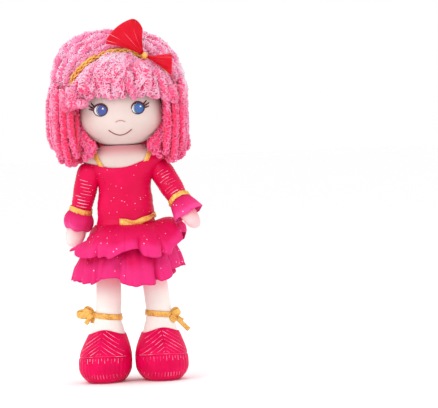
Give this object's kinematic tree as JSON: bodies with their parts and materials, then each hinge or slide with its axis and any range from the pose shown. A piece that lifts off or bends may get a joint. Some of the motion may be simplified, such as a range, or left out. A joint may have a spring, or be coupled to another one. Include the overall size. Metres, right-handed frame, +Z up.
{
  "type": "rag doll",
  "caption": "Soft stuffed ballerina rag doll with yarn hair, a bow, a tulle tutu and satin slippers; stands on its soles, with arms, legs and head that move.",
  "frame": {"origin": "on the floor under the middle of the body, at the bottom centre of the bounding box", "axes": "+Z up, -Y the way the doll faces, +X the doll's left"},
  "size_m": [0.1537, 0.1122, 0.3623],
  "materials": {
    "skin_fabric": "matte stretch knit",
    "fibrefill": "loose white fill",
    "yarn": "fluffy looped yarn",
    "dress_fabric": "satin stretch knit with metallic lines",
    "tulle": "glittered tulle",
    "gold_ribbon": "metallic ribbon",
    "bow_ribbon": "pleated satin ribbon",
    "shoe_fabric": "satin with metallic stitching"
  },
  "bodies": {
    "torso": {"torso_skin": "skin_fabric", "torso_stuffing": "fibrefill", "bodice": "dress_fabric", "strap_right": "gold_ribbon", "strap_left": "gold_ribbon", "waist_ribbon": "gold_ribbon", "tutu_upper_tier": "tulle", "tutu_lower_tier": "tulle"},
    "head": {"head_skin": "skin_fabric", "head_stuffing": "fibrefill", "hair_crown": "yarn", "hair_fringe": "yarn", "hair_locks_right": "yarn", "hair_locks_back": "yarn", "hair_locks_left": "yarn", "headband": "gold_ribbon", "bow_wing_right": "bow_ribbon", "bow_wing_left": "bow_ribbon", "bow_knot": "gold_ribbon"},
    "shoulder_right": {"shoulder_seam_right": "skin_fabric"},
    "arm_right": {"arm_skin_right": "skin_fabric", "arm_stuffing_right": "fibrefill", "sleeve_right": "dress_fabric", "sleeve_band_right": "gold_ribbon", "sleeve_ruffle_right": "tulle"},
    "leg_right": {"leg_skin_right": "skin_fabric", "leg_stuffing_right": "fibrefill", "shoe_upper_right": "shoe_fabric", "shoe_toe_right": "shoe_fabric", "shoe_sole_right": "shoe_fabric", "ankle_ribbon_right": "gold_ribbon", "ankle_bow_right": "gold_ribbon"},
    "shoulder_left": {"shoulder_seam_left": "skin_fabric"},
    "arm_left": {"arm_skin_left": "skin_fabric", "arm_stuffing_left": "fibrefill", "sleeve_left": "dress_fabric", "sleeve_band_left": "gold_ribbon", "sleeve_ruffle_left": "tulle"},
    "leg_left": {"leg_skin_left": "skin_fabric", "leg_stuffing_left": "fibrefill", "shoe_upper_left": "shoe_fabric", "shoe_toe_left": "shoe_fabric", "shoe_sole_left": "shoe_fabric", "ankle_ribbon_left": "gold_ribbon", "ankle_bow_left": "gold_ribbon"}
  },
  "joints": [
    {"name": "head_turn", "type": "hinge", "parent": "torso", "child": "head", "pos_m": [0, 0, 0.2328], "axis": [0, 0, 1], "range_deg": [-20, 20], "stiffness_Nm_per_rad": 0.02},
    {"name": "arm_swing_right", "type": "hinge", "parent": "torso", "child": "shoulder_right", "pos_m": [-0.0381, 0, 0.2062], "axis": [-1, 0, 0], "range_deg": [-37, 98]},
    {"name": "arm_lift_right", "type": "hinge", "parent": "shoulder_right", "child": "arm_right", "pos_m": [-0.0381, 0, 0.2062], "axis": [0, 0.9903, 0.1392], "range_deg": [-7, 75]},
    {"name": "hip_right", "type": "hinge", "parent": "torso", "child": "leg_right", "pos_m": [-0.022, 0, 0.127], "axis": [-1, 0, 0], "range_deg": [-25, 90], "deforming": ["tutu_upper_tier", "tutu_lower_tier"]},
    {"name": "arm_swing_left", "type": "hinge", "parent": "torso", "child": "shoulder_left", "pos_m": [0.0381, 0, 0.2062], "axis": [-1, 0, 0], "range_deg": [-75, 60]},
    {"name": "arm_lift_left", "type": "hinge", "parent": "shoulder_left", "child": "arm_left", "pos_m": [0.0381, 0, 0.2062], "axis": [0, -0.866, 0.5], "range_deg": [-19, 63]},
    {"name": "hip_left", "type": "hinge", "parent": "torso", "child": "leg_left", "pos_m": [0.022, 0, 0.127], "axis": [-1, 0, 0], "range_deg": [-25, 90], "deforming": ["tutu_upper_tier", "tutu_lower_tier"]}
  ]
}
